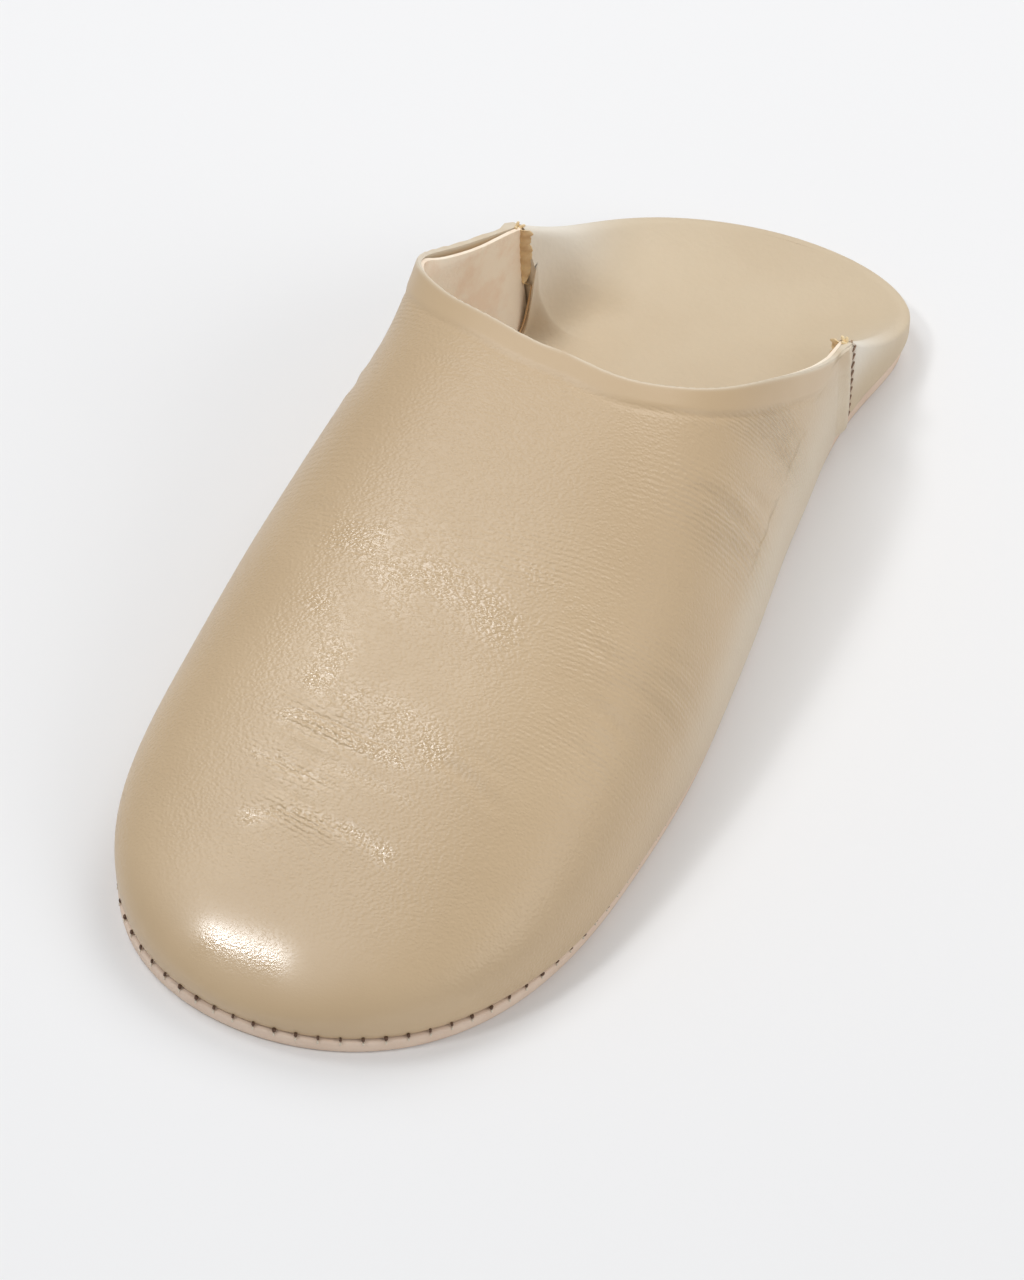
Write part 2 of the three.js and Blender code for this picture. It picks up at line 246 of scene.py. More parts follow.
def vamp_surface(along, girth, drop):
    """Points and outward normals of the vamp, from the section above the widest level and from
    the curling wall below it, where `drop` goes from 0 to 1 at the feather line. Near the throat
    the medial side flares out along its normals."""
    point = section_point(along, girth)
    at_toe = along < 1e-6
    normal = outward_normal(point)
    normal[at_toe] = (0, -1, 0)
    turn = turn_at(along, np.where(np.cos(girth) < 0, -1, 1))
    into = inward(turn)
    point[..., :2] += into * wall_inset(turn, point[..., 2])[..., None]
    near = 1 - np.clip((vamp_end(girth) - along) / FLARE_REACH, 0, 1)
    flare = FLARE_OUT * bell(np.degrees(girth), FLARE_GIRTH, FLARE_SPREAD) * near**2
    point += normal * flare[..., None]
    low = drop > 0
    below = wall_point(turn, WIDEST_LEVEL + (FEATHER_LEVEL - WIDEST_LEVEL) * drop)
    point[low] = below[low]
    flat = np.concatenate([-into, np.zeros_like(into[..., :1])], -1)
    normal[low] = flat[low]
    return point, normal


# ---- meshes ------------------------------------------------------------------

MERGED_WITHIN = 2e-6  # metres
NO_LENGTH = 1e-7


def quads(index):
    """The faces of a grid of vertex numbers: rows by columns."""
    corners = (index[:-1, :-1], index[1:, :-1], index[1:, 1:], index[:-1, 1:])
    return np.stack(corners, -1).reshape(-1, 4)


def make_piece(name, points, faces, finish, replaced=(), layers=None, sharp=40):
    """A piece from points in millimetres: doubles are merged, so that poles and seams close."""
    mesh = bpy.data.meshes.new(name)
    mesh.from_pydata((points * MM).tolist(), [], faces)
    for layer, values in (layers or {}).items():
        attribute = mesh.attributes.new(layer, "FLOAT", "POINT")
        attribute.data.foreach_set("value", np.asarray(values, np.float32).ravel())
    work = bmesh.new()
    work.from_mesh(mesh)
    bmesh.ops.remove_doubles(work, verts=work.verts, dist=MERGED_WITHIN)
    bmesh.ops.dissolve_degenerate(work, edges=work.edges, dist=NO_LENGTH)
    work.to_mesh(mesh)
    work.free()
    mesh.polygons.foreach_set("use_smooth", np.ones(len(mesh.polygons), bool))
    mesh.set_sharp_from_angle(angle=radians(sharp))
    mesh.materials.append(finish)
    piece = bpy.data.objects.new(name, mesh)
    bpy.context.scene.collection.objects.link(piece)
    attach(piece, "root")
    if replaced:
        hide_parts(*replaced)


def shell_faces(rows, columns, first_rim, last_rim):
    """A closed wall between two grids, the outside first: both grids, their side rims, and the end
    rims asked for, because a pole or a doubled edge has none."""
    outside = np.arange(rows * columns).reshape(rows, columns)
    inside = outside + rows * columns
    left = np.stack([outside[:, 0], inside[:, 0]], -1)
    right = np.stack([inside[:, -1], outside[:, -1]], -1)
    parts = [quads(outside), quads(inside)[:, ::-1], quads(left)[:, ::-1], quads(right)[:, ::-1]]
    if last_rim:
        parts.append(quads(np.stack([outside[-1], inside[-1]])))
    if first_rim:
        parts.append(quads(np.stack([outside[0], inside[0]]))[:, ::-1])
    return np.concatenate(parts).tolist()


def wall_piece(name, outside, inside, finish, replaced=(), layers=None, rims=(True, True), sharp=40):
    """A closed shell piece from its outside and inside grids; layers are given for the outside."""
    rows, columns = outside.shape[:2]
    points = np.concatenate([outside.reshape(-1, 3), inside.reshape(-1, 3)])
    doubled = {key: np.concatenate([value.ravel()] * 2) for key, value in (layers or {}).items()}
    faces = shell_faces(rows, columns, *rims)
    make_piece(name, points, faces, finish, replaced, doubled, sharp)


def distance_to_line(points, line):
    """Each point's distance to the nearest of a line's samples, and that sample's share of the line."""
    flat = points.reshape(-1, 3)
    nearest = np.full(len(flat), np.inf)
    share = np.zeros(len(flat))
    for i, sample in enumerate(line):
        gap = ((flat - sample) ** 2).sum(-1)
        closer = gap < nearest
        nearest[closer] = gap[closer]
        share[closer] = i / (len(line) - 1)
    return np.sqrt(nearest).reshape(points.shape[:-1]), share.reshape(points.shape[:-1])


# ---- finishes ----------------------------------------------------------------

class Shade:
    """A socket of a material's tree, on which arithmetic adds Math nodes."""

    def __init__(self, finish, socket):
        self.finish = finish
        self.socket = socket

    def math(self, operation, first, second=None, clamped=False):
        inputs = {0: first} if second is None else {0: first, 1: second}
        settings = {"operation": operation, "use_clamp": clamped}
        return self.finish.node("ShaderNodeMath", settings, inputs)

    def __add__(self, other):
        return self.math("ADD", self, other)

    def __radd__(self, other):
        return self.math("ADD", other, self)

    def __sub__(self, other):
        return self.math("SUBTRACT", self, other)

    def __rsub__(self, other):
        return self.math("SUBTRACT", other, self)

    def __mul__(self, other):
        return self.math("MULTIPLY", self, other)

    def __rmul__(self, other):
        return self.math("MULTIPLY", other, self)

    def sine(self):
        return self.math("SINE", self)

    def clamped(self):
        return self.math("ADD", self, 0.0, clamped=True)


class Finish:
    """A material made of nodes."""

    def __init__(self, name):
        self.material = bpy.data.materials.new(name)
        self.material.use_nodes = True
        self.tree = self.material.node_tree
        self.tree.nodes.clear()

    def node(self, kind, settings=None, inputs=None, output=0):
        """Any node: its settings are set first, then the values or links of its sockets."""
        made = self.tree.nodes.new(kind)
        for key, value in (settings or {}).items():
            setattr(made, key, value)
        for key, value in (inputs or {}).items():
            if isinstance(value, Shade):
                self.tree.links.new(value.socket, made.inputs[key])
            elif isinstance(value, tuple) and made.inputs[key].type == "RGBA":
                made.inputs[key].default_value = (*value, 1)
            else:
                made.inputs[key].default_value = value
        return Shade(self, made.outputs[output]) if len(made.outputs) else None

    def place(self, stretch=(1, 1, 1), turn=0.0):
        """Object coordinates in millimetres, turned about the vertical and then stretched."""
        spot = self.node("ShaderNodeTexCoord", output="Object")
        settings = {"vector_type": "POINT"}
        turned = self.node("ShaderNodeMapping", settings, {"Vector": spot, "Rotation": (0, 0, turn)})
        scale = tuple(1000 * value for value in stretch)
        return self.node("ShaderNodeMapping", settings, {"Vector": turned, "Scale": scale})

    def noise(self, place, size, detail=2.0, roughness=0.5):
        """Smooth noise about 0 to 1, with patches of this size in millimetres."""
        inputs = {"Vector": place, "Scale": 1 / size, "Detail": detail, "Roughness": roughness}
        return self.node("ShaderNodeTexNoise", {}, inputs)

    def warped(self, place, size, amount):
        """A place shifted by noise, so that a pattern on it is less regular."""
        inputs = {"Vector": place, "Scale": 1 / size, "Detail": 1.0}
        drift = self.node("ShaderNodeTexNoise", {}, inputs, output="Color")
        drift = self.node("ShaderNodeVectorMath", {"operation": "SUBTRACT"}, {0: drift, 1: (0.5, 0.5, 0.5)})
        drift = self.node("ShaderNodeVectorMath", {"operation": "SCALE"}, {0: drift, "Scale": amount})
        return self.node("ShaderNodeVectorMath", {"operation": "ADD"}, {0: place, 1: drift})

    def pebble(self, place, size):
        """Rounded cells of this size: high in their middles, low where they meet."""
        inputs = {"Vector": place, "Scale": 1 / size, "Smoothness": 0.6}
        cells = self.node("ShaderNodeTexVoronoi", {"feature": "SMOOTH_F1"}, inputs)
        return 1 - cells

    def layer(self, name):
        """A number that the mesh carries at each vertex."""
        settings = {"attribute_name": name, "attribute_type": "GEOMETRY"}
        return self.node("ShaderNodeAttribute", settings, output="Fac")

    def band(self, value, low, high):
        """0 below one value and 1 above another, smooth between."""
        settings = {"interpolation_type": "SMOOTHSTEP"}
        return self.node("ShaderNodeMapRange", settings, {0: value, 1: low, 2: high})

    def mix(self, share, first, second):
        """A mix of two colours. The node repeats its sockets' names, so they go by number."""
        settings = {"data_type": "RGBA"}
        return self.node("ShaderNodeMix", settings, {0: share, 6: first, 7: second}, output=2)

    def bump(self, height, depth, under=None):
        """A bumped normal: the height's range of 1 stands for this depth in millimetres."""
        inputs = {"Height": height, "Distance": depth * MM, "Strength": 1.0}
        if under is not None:
            inputs["Normal"] = under
        return self.node("ShaderNodeBump", {}, inputs)

    def surface(self, colour, roughness, normal, **constants):
        """The finished material; constants name the shader's other sockets."""
        inputs = {"Base Color": colour, "Roughness": roughness, "Normal": normal}
        inputs.update({key.replace("_", " "): value for key, value in constants.items()})
        shader = self.node("ShaderNodeBsdfPrincipled", {}, inputs)
        self.node("ShaderNodeOutputMaterial", {}, {"Surface": shader})
        return self.material


SAND = (0.592, 0.434, 0.260)
# a deeper sand, for random tone and for painted shade
SAND_DEEP = (0.535, 0.383, 0.222)
# paler sand for cut edges, and for painted highlight and sheen
SAND_EDGE_AND_HIGHLIGHT = (0.700, 0.600, 0.455)
FLAP_SAND = (0.625, 0.505, 0.348)
FLAP_DEEP = (0.575, 0.450, 0.300)
# the flap's painted sheen
FLAP_PAINTED_SHEEN = (0.790, 0.725, 0.620)
# painted shade beside the side seams
SEAM_GROOVE_SHADE = (0.360, 0.240, 0.150)
LINING = (0.985, 0.875, 0.715)
# also the lining's painted shade
LINING_DEEP = (0.900, 0.690, 0.510)
NATURAL = (0.760, 0.590, 0.450)
NATURAL_DEEP = (0.530, 0.345, 0.235)
SOLE_TAN = (0.800, 0.640, 0.515)
SOLE_DEEP = (0.700, 0.510, 0.380)
OCHRE = (0.960, 0.780, 0.470)
# also painted shade on the raw edge's lower line
OCHRE_DEEP = (0.500, 0.280, 0.130)
DARK_THREAD = (0.120, 0.060, 0.032)
PALE_THREAD = (0.780, 0.690, 0.560)
SEAM_THREAD = (0.260, 0.160, 0.100)
SEAM_SHADE = (0.420, 0.290, 0.190)


def sand_leather():
    """Dyed sheepskin: a fine pebble grain under a thin finish, paler where it is cut. It carries painted
    highlight on the rolled ridges along the side seams, painted sheen on the lateral flank, and painted
    shade in the hem's groove and over the upper medial vamp.
    """
    finish = Finish("sand_leather")
    place = finish.place()
    painted_shade_and_mottle = finish.layer("painted_shade_and_mottle").clamped()
    tone = finish.band(finish.noise(place, 34.0, 3.0), 0.35, 0.68)
    colour = finish.mix(tone * 0.55, SAND, SAND_DEEP)
    speck = finish.band(finish.noise(place, 0.9, 2.0), 0.52, 0.75)
    colour = finish.mix(speck * 0.10, colour, SAND_DEEP)
    # painted shade: darker in the groove behind the hem and over the upper medial vamp
    colour = finish.mix(painted_shade_and_mottle * 0.3 + finish.layer("deep"), colour, SAND_DEEP)
    # paler: the cut edges, painted highlight on the rolled ridges along the side seams, and painted sheen
    # on the lateral flank
    colour = finish.mix(finish.layer("pale").clamped(), colour, SAND_EDGE_AND_HIGHLIGHT)
    patches = 0.55 + finish.band(finish.noise(place, 7.0, 3.0), 0.35, 0.6) * 0.55
    gloss = finish.layer("gloss") * patches + finish.layer("toe_gloss")
    grain = finish.warped(finish.place((0.85, 1.2, 1.0), radians(-8)), 1.2, 0.45)
    pebbles = finish.pebble(grain, 0.68)
    pores = finish.noise(place, 0.35, 2.0, 0.6)
    standing = (0.55 + gloss * 0.28) * (0.06 + finish.layer("grain") * 0.94)
    wave = (finish.layer("ripple") * (2 * pi) + finish.noise(place, 2.6) * 5.0).sine()
    normal = finish.bump(wave * finish.layer("ripple_depth"), 0.075)
    normal = finish.bump(pebbles * standing + pores * 0.1, 0.19, normal)
    rough = 0.39 - gloss * 0.23 + finish.noise(place, 5.0, 3.0) * 0.06 + painted_shade_and_mottle * 0.08
    return finish.surface(
        colour, rough, normal, Specular_IOR_Level=0.75, Sheen_Weight=0.12, Sheen_Roughness=0.35
    )


def flap_leather():
    """The same skin where it is folded inside: flatter and smoother, with a low sheen. It pales towards the
    tops of its walls as painted sheen, and darkens beside the side seams as painted shade.
    """
    finish = Finish("flap_leather")
    place = finish.place()
    tone = finish.band(finish.noise(place, 26.0, 3.0), 0.35, 0.68)
    colour = finish.mix(tone * 0.4, FLAP_SAND, FLAP_DEEP)
    # painted sheen, rising with height
    colour = finish.mix(finish.layer("pale").clamped(), colour, FLAP_PAINTED_SHEEN)
    # painted shade beside the side seams
    colour = finish.mix(finish.layer("groove").clamped() * 0.75, colour, SEAM_GROOVE_SHADE)
    pebbles = finish.pebble(finish.warped(place, 2.5, 1.0), 1.3)
    pores = finish.noise(place, 0.5, 2.0, 0.6)
    normal = finish.bump(pebbles * 0.5 + pores * 0.3, 0.10)
    rough = 0.46 + finish.noise(place, 6.0, 3.0) * 0.1
    return finish.surface(colour, rough, normal, Specular_IOR_Level=0.4, Sheen_Weight=0.05)


def natural_leather(name, pale, deep, mottle):
    """Undyed leather: mottled, with short fibres, and matt. It is darker by a layer that its mesh carries:
    painted shade, and on the raw edges' wedges also a mottle.
    """
    finish = Finish(name)
    place = finish.place()
    blotch = finish.band(finish.noise(place, 9.0, 4.0, 0.6), 0.40, 0.68)
    fibre = finish.noise(finish.place((3.0, 0.7, 1.0)), 0.9, 3.0, 0.7)
    colour = finish.mix(blotch * mottle, pale, deep)
    colour = finish.mix(finish.band(fibre, 0.55, 0.8) * 0.25, colour, deep)
    # the mesh's layer: painted shade deep inside the lining and on the raw edge's lower line, and a mottle
    # on the raw edge's wedge
    colour = finish.mix(finish.layer("painted_shade_and_mottle").clamped(), colour, deep)
    normal = finish.bump(fibre * 0.6 + finish.noise(place, 0.6, 2.0) * 0.4, 0.10)
    return finish.surface(colour, 0.62 + fibre * 0.15, normal, Specular_IOR_Level=0.3)


def thread_finish(name, colour, rough):
    """Thread: fine noise stands for its twist, which darkens it and roughens its surface."""
    finish = Finish(name)
    place = finish.place()
    twist = finish.noise(place, 0.35, 2.0)
    shaded = finish.mix(finish.band(twist, 0.4, 0.7) * 0.5, colour, tuple(0.5 * c for c in colour))
    return finish.surface(shaded, rough + twist * 0.1, finish.bump(twist, 0.08))


# ---- the vamp ----------------------------------------------------------------

# Creases pressed into the vamp, from one place to another: along, girth, along, girth, how far the
# middle bows towards the heel, and half width and depth in millimetres.
CREASES = [
    (0.124, 100, 0.139, 91, 0.002, 1.3, 0.11),
    (0.140, 93, 0.132, 82, 0.003, 1.3, 0.11),
    (0.150, 99, 0.147, 88, 0.002, 1.3, 0.09),
    (0.169, 102, 0.164, 90, 0.002, 1.3, 0.09),
    (0.181, 97, 0.176, 85, 0.002, 1.3, 0.09),
    (0.197, 101, 0.191, 86, 0.002, 1.3, 0.13),
    (0.209, 100, 0.205, 86, 0.002, 1.3, 0.15),
    (0.213, 87, 0.200, 69, 0.001, 1.3, 0.18),
    (0.200, 76, 0.197, 60, -0.001, 1.3, 0.09),
    (0.225, 80, 0.218, 64, 0.001, 1.3, 0.09),
    (0.303, 60, 0.299, 34, 0.004, 1.4, 0.18),
    (0.268, 58, 0.262, 38, 0.003, 1.3, 0.13),
    (0.285, 52, 0.281, 36, 0.003, 1.3, 0.09),
    (0.345, 66, 0.347, 48, -0.003, 1.5, 0.13),
    (0.330, 54, 0.352, 12, 0.004, 1.6, 0.18),
    (0.354, 42, 0.386, 12, 0.004, 1.5, 0.15),
    (0.372, 46, 0.398, 20, 0.004, 1.3, 0.09),
    (0.503, 55, 0.541, 26, 0.004, 1.7, 0.26),
    (0.498, 48, 0.556, 16, 0.005, 1.6, 0.24),
    (0.488, 38, 0.530, 14, 0.005, 1.4, 0.13),
    (0.550, 36, 0.592, 13, 0.004, 1.4, 0.24),
    (0.507, 30, 0.556, 9, 0.004, 1.3, 0.18),
    (0.540, 24, 0.578, 8, 0.003, 1.3, 0.22),
    (0.604, 34, 0.660, 10, 0.004, 1.7, 0.20),
    (0.640, 30, 0.690, 10, 0.004, 1.7, 0.16),
    (0.380, 128, 0.372, 112, 0.003, 1.6, 0.07),
    (0.520, 112, 0.512, 96, 0.003, 1.6, 0.07),
    (0.515, 136, 0.556, 164, 0.004, 1.8, 0.20),
    (0.545, 140, 0.590, 168, 0.004, 1.6, 0.16),
    (0.615, 150, 0.665, 170, 0.004, 1.7, 0.18),
]

# Fields of fine parallel wrinkles: along, girth, half length, half width, direction in degrees from
# straight across the foot, pitch and depth.
WRINKLES = [
    (0.630, 35, 29, 9, -28, 1.05, 1.8),
    (0.553, 74, 15, 3.2, -12, 0.95, 1.4),
    (0.525, 28, 24, 10, -26, 1.4, 1.5),
    (0.350, 42, 24, 14, -18, 1.2, 0.6),
    (0.275, 46, 18, 12, -10, 1.2, 0.5),
    (0.205, 94, 11, 4, 6, 1.3, 0.9),
    (0.134, 91, 10, 3, 8, 1.1, 0.9),
    (0.168, 95, 12, 4, 6, 1.2, 0.5),
    (0.385, 80, 22, 9, -8, 1.3, 0.45),
    (0.360, 116, 16, 7, 6, 1.3, 0.5),
    (0.420, 136, 18, 20, 10, 1.6, 0.4),
    (0.620, 154, 22, 8, 30, 1.1, 1.3),
    (0.535, 154, 20, 9, 26, 1.3, 0.9),
]

# Strips where the finish is polished and the grain stands up: along, girth, along, girth, bow, half
# width and strength. The toe is polished smooth.
POLISHED = [
    (0.362, 109, 0.325, 83, 0.010, 6.0, 1.0),
    (0.345, 98, 0.318, 92, 0.000, 5.0, 0.8),
    (0.298, 104, 0.245, 95, 0.000, 5.5, 1.0),
    (0.238, 98, 0.213, 84, 0.003, 5.5, 1.15),
    (0.204, 100, 0.199, 87, 0.002, 2.6, 1.2),
    (0.169, 102, 0.165, 91, 0.001, 1.8, 0.9),
    (0.178, 93, 0.176, 84, 0.001, 2.0, 0.6),
    (0.124, 99, 0.133, 82, 0.009, 2.4, 1.1),
    (0.374, 84, 0.350, 63, 0.002, 4.5, 0.45),
    (0.330, 122, 0.300, 108, 0.002, 6.0, 0.3),
    (0.520, 40, 0.600, 24, 0.002, 7.0, 0.3),
    (0.366, 110, 0.330, 82, 0.008, 13.0, 0.42),
    (0.300, 104, 0.165, 93, 0.000, 13.0, 0.42),
]
TOE_POLISH = [(0.035, 101, 0.035, 89, 0.000, 5.5, 1.25)]
CREASE_STRENGTH = 1.6  # times the depths above
BANK_HEIGHT = 0.45  # of a crease's banks, as a share of its depth, and where they run in half widths
BANK_PLACE = 1.9
FIELD_DEPTH = 16  # how far behind a field's own place, through the slipper, it is still felt
HEM = 6.2  # width of the turned hem along the throat
HEM_RISE = 0.2
HEM_GROOVE = 0.32  # how deep the groove behind the hem is pressed
EDGE_ROUND = 0.55
SEAM_RIDGE = 1.0  # the turned edge of the vamp along each side seam
LEATHER = 1.05  # outer leather; the lining takes up the rest of the wall
LINING_SHORT = 0.35  # how far the lining's edge stays behind the leather's
TOPLINE_GAP = 1.5  # where the lining stands off the leather most, and at which girth in degrees
TOPLINE_GIRTH = 148.5
TOPLINE_SPREAD = 6.5


def vamp_columns(throat, wall, curl):
    """Girth and drop of each column: up the lateral curl and wall, over the throat, and down."""
    falling = np.linspace(1, 0, curl + 1)[:-1]
    girth = np.concatenate([
        np.zeros(curl),
        np.linspace(0, WING[1], wall + 1)[:-1],
        np.linspace(WING[1], WING[-1], throat + 1),
        np.linspace(WING[-1], pi, wall + 1)[1:],
        np.full(curl, pi),
    ])
    drop = np.concatenate([falling, np.zeros(len(girth) - 2 * curl), falling[::-1]])
    return girth, drop


def vamp_grid(rows, throat, wall, curl):
    """Places, points and normals over the vamp: rows crowd towards the throat as a power of the share."""
    girth, drop = vamp_columns(throat, wall, curl)
    share = 1 - (1 - np.linspace(0, 1, rows)) ** 1.4
    along = along_at(share[:, None] * np.arccos(1 - 2 * vamp_end(girth))[None, :])
    girth = np.broadcast_to(girth, along.shape)
    drop = np.broadcast_to(drop, along.shape)
    point, normal = vamp_surface(along, girth, drop)
    return along, girth, point, normal


def place_on_vamp(along, girth):
    """Points on the outside of the vamp, for girths in degrees."""
    along, girth = np.broadcast_arrays(np.asarray(along, float), np.radians(girth))
    return vamp_surface(along.copy(), girth.copy(), np.zeros(along.shape))


def throat_line(samples):
    """The vamp's cut edge, from the lateral wing over the instep to the medial one."""
    girth = np.linspace(THROAT["girth"][0], THROAT["girth"][-1], samples)
    return place_on_vamp(vamp_end(np.radians(girth)), girth)[0]


def wing_height(side):
    """The level of the wing's top, where the throat meets the side seam."""
    return place_on_vamp(SEAM[side], np.degrees(WING[side]))[0][2]


def seam_line(side, samples=60):
    """The vamp's side seam, from the wing down to the feather line."""
    return wall_point(turn_at(SEAM[side], side), np.linspace(wing_height(side), FEATHER_LEVEL, samples))


def strip_line(along_0, girth_0, along_1, girth_1, bow, samples):
    """A line over the vamp from one place to another, its middle bowed back as a half sine."""
    t = np.linspace(0, 1, samples)
    along = along_0 + (along_1 - along_0) * t + bow * np.sin(pi * t)
    return place_on_vamp(along, girth_0 + (girth_1 - girth_0) * t)[0]


def crease_relief(point):
    """Each crease is a soft trough, a bell across its line, between two low banks, and fades to its
    ends as a half sine."""
    relief = np.zeros(point.shape[:-1])
    for *line, width, depth in CREASES:
        gap, share = distance_to_line(point, strip_line(*line, 60))
        fade = np.sin(pi * share)
        trough = bell(gap, 0, width) * fade
        bank = bell(gap, BANK_PLACE * width, width) * fade
        relief += CREASE_STRENGTH * depth * (BANK_HEIGHT * bank - trough)
    return relief


def polish(point, strips):
    """How polished each point is: the most of the strips' bells, by the distance to each line."""
    gloss = np.zeros(point.shape[:-1])
    for *line, width, strength in strips:
        gap, _ = distance_to_line(point, strip_line(*line, 40))
        gloss = np.maximum(gloss, strength * bell(gap, 0, width))
    return gloss


def wrinkle_layers(point):
    """The phase and depth of fine wrinkles: in each field the phase grows across its lines, and the
    depth fades as a bell along them, across them and away from the surface. The strongest field
    holds at each point, less the next strongest, so that fields meet where neither is felt."""
    phase = np.zeros(point.shape[:-1])
    first = np.zeros(point.shape[:-1])
    second = np.zeros(point.shape[:-1])
    for along, girth, half_length, half_width, direction, pitch, strength in WRINKLES:
        centre, normal = place_on_vamp(along, girth)
        across = place_on_vamp(along, girth - 0.5)[0] - centre
        across /= np.linalg.norm(across)
        back = np.cross(normal, across)
        u = (point - centre) @ across
        v = (point - centre) @ back
        off = (point - centre) @ normal
        turn = radians(direction)
        lengthwise = u * cos(turn) - v * sin(turn)
        crosswise = u * sin(turn) + v * cos(turn)
        spread = (lengthwise / half_length) ** 2 + (crosswise / half_width) ** 2
        here = strength * np.exp(-spread - (off / FIELD_DEPTH) ** 2)
        stronger = here > first
        phase[stronger] = (crosswise / pitch)[stronger]
        second = np.where(stronger, first, np.maximum(second, here))
        first = np.maximum(first, here)
    return phase, first - second


def topline_gap(girth, edge):
    """How far the lining stands off the leather: along the medial topline, fading from its edge."""
    aside = (np.degrees(girth) - TOPLINE_GIRTH) / TOPLINE_SPREAD
    return TOPLINE_GAP * np.exp(-(aside**4)) * (1 - smoothstep(0, 8, edge))


def edge_rounding(edge):
    """How far the leather falls away near its cut edge: a quarter circle."""
    short = np.maximum(EDGE_ROUND - edge, 0)
    return EDGE_ROUND - np.sqrt(np.maximum(EDGE_ROUND**2 - short**2, 0))


def make_vamp_leather(sand):
    """The vamp's outer leather: the vamp's surface, raised along its normals by the creases, the
    hem along the throat and a ridge along each side seam."""
    along, girth, point, normal = vamp_grid(190, 150, 16, 5)
    degrees = np.degrees(girth)
    edge, _ = distance_to_line(point, throat_line(400))
    seam = np.minimum(*(distance_to_line(point, seam_line(side))[0] for side in (1, -1)))
    calm = smoothstep(HEM - 1.5, HEM + 1.5, edge)
    relief = crease_relief(point) * calm
    phase, depth = wrinkle_layers(point)
    creased = 0.35 + 0.65 * smoothstep(15, 30, degrees) * (1 - smoothstep(72, 92, degrees))
    groove = creased * bell(edge, HEM + 0.4, 0.8)
    hem = HEM_RISE * (1 - smoothstep(HEM - 1.2, HEM + 0.6, edge)) - HEM_GROOVE * groove
    ridge = SEAM_RIDGE * (bell(seam, 2.2, 2.3) - 0.25 * bell(seam, 6.4, 1.6))
    rounding = edge_rounding(np.minimum(edge, seam * 0.6))
    outside = point + normal * (relief + hem + ridge - rounding)[..., None]
    inside = point - normal * LEATHER
    # painted sheen on the lateral flank towards the throat, standing in for a grazing reflection
    painted_flank_sheen = 0.75 * (1 - smoothstep(4, 24, degrees)) * smoothstep(0.2, 0.55, along)
    layers = {
        # painted shade in the groove behind the hem
        "painted_shade_and_mottle": 0.5 * groove,
        # painted shade over the upper medial vamp, where less light falls
        "deep": 0.65 * smoothstep(0.28, 0.46, along) * smoothstep(20, 60, degrees),
        # paler at the cut edges; along the side seams the cut edge with painted highlight on the rolled
        # ridge; painted sheen on the lateral flank
        "pale": bell(edge, 0, 0.6) + np.maximum(0.7 * bell(seam, 0, 3.6), painted_flank_sheen),
        "gloss": polish(point, POLISHED),
        "toe_gloss": polish(point, TOE_POLISH),
        "grain": calm * smoothstep(0.03, 0.12, along),
        "ripple": phase,
        "ripple_depth": depth * smoothstep(HEM - 1.0, HEM + 1.0, edge),
    }
    wall_piece(
        "vamp_leather", outside, inside, sand, ["upper"], layers, rims=(False, True)
    )


def make_vamp_lining(lining):
    """The lining: the vamp's surface again, moved in by the leather's thickness and the gap."""
    _, girth, point, normal = vamp_grid(90, 90, 10, 3)
    edge, _ = distance_to_line(point, throat_line(300))
    off = topline_gap(girth, edge)
    short = LINING_SHORT * (1 - smoothstep(0, 3, edge))
    outside = point - normal * (LEATHER + 0.1 + off)[..., None]
    inside = point - normal * (UPPER_WALL + off * 0.9)[..., None]
    outside[..., 1] -= short
    inside[..., 1] -= short
    # painted shade, darker further from the throat, deep inside the slipper
    layers = {"painted_shade_and_mottle": 0.2 * smoothstep(18, 70, edge)}
    wall_piece(
        "vamp_lining", outside, inside, lining, ["upper"], layers, rims=(False, True)
    )


# ---- the trodden quarter -----------------------------------------------------

QUARTER_ROWS = 76
FLAP_ROWS = 24
WALL_LEVELS = 14
FOLD_STEPS = 10
SIDE_POINTS = WALL_LEVELS + FOLD_STEPS
DISH_COLUMNS = 64
DISH_REACH = 38.0  # from the fold to where the flap lies flat
SKIVE = 1.1  # how much thinner the flap's free edge is
CLIMB = {1: 9.0, -1: 12.5}  # how far the flap is sewn up the lining at each wing
CLIMB_REACH = 2.6  # and how far ahead of the seam that is felt
WEDGE_WIDTH = 2.4  # the raw seam edges above that, at the top
SEWN_SINK = 0.1  # how far the flap's sides are pulled into the lining that they are sewn to
PAINTED_SHEEN_HEIGHT = 24  # the height above the seat towards which the flap's painted sheen grows


def seam_turn(side):
    """The turn at which the quarter starts, behind the vamp by the seam's gap."""
    return turn_at(SEAM[side] + SEAM_GAP / LENGTH, side)


def dish_power(share):
    """How steeply the flap leaves its fold: steepest at the seams, where its two layers are sewn."""
    return DISH_POWER + SEWN_POWER * bell(share, 0, 0.11)


def over_sides():
    """A row of shares: rising from 0 to 1 over each side's wall and fold, and 1 across the flap."""
    rising = np.linspace(0, 1, SIDE_POINTS)
    return np.concatenate([rising, np.ones(DISH_COLUMNS - 1), rising[::-1]])


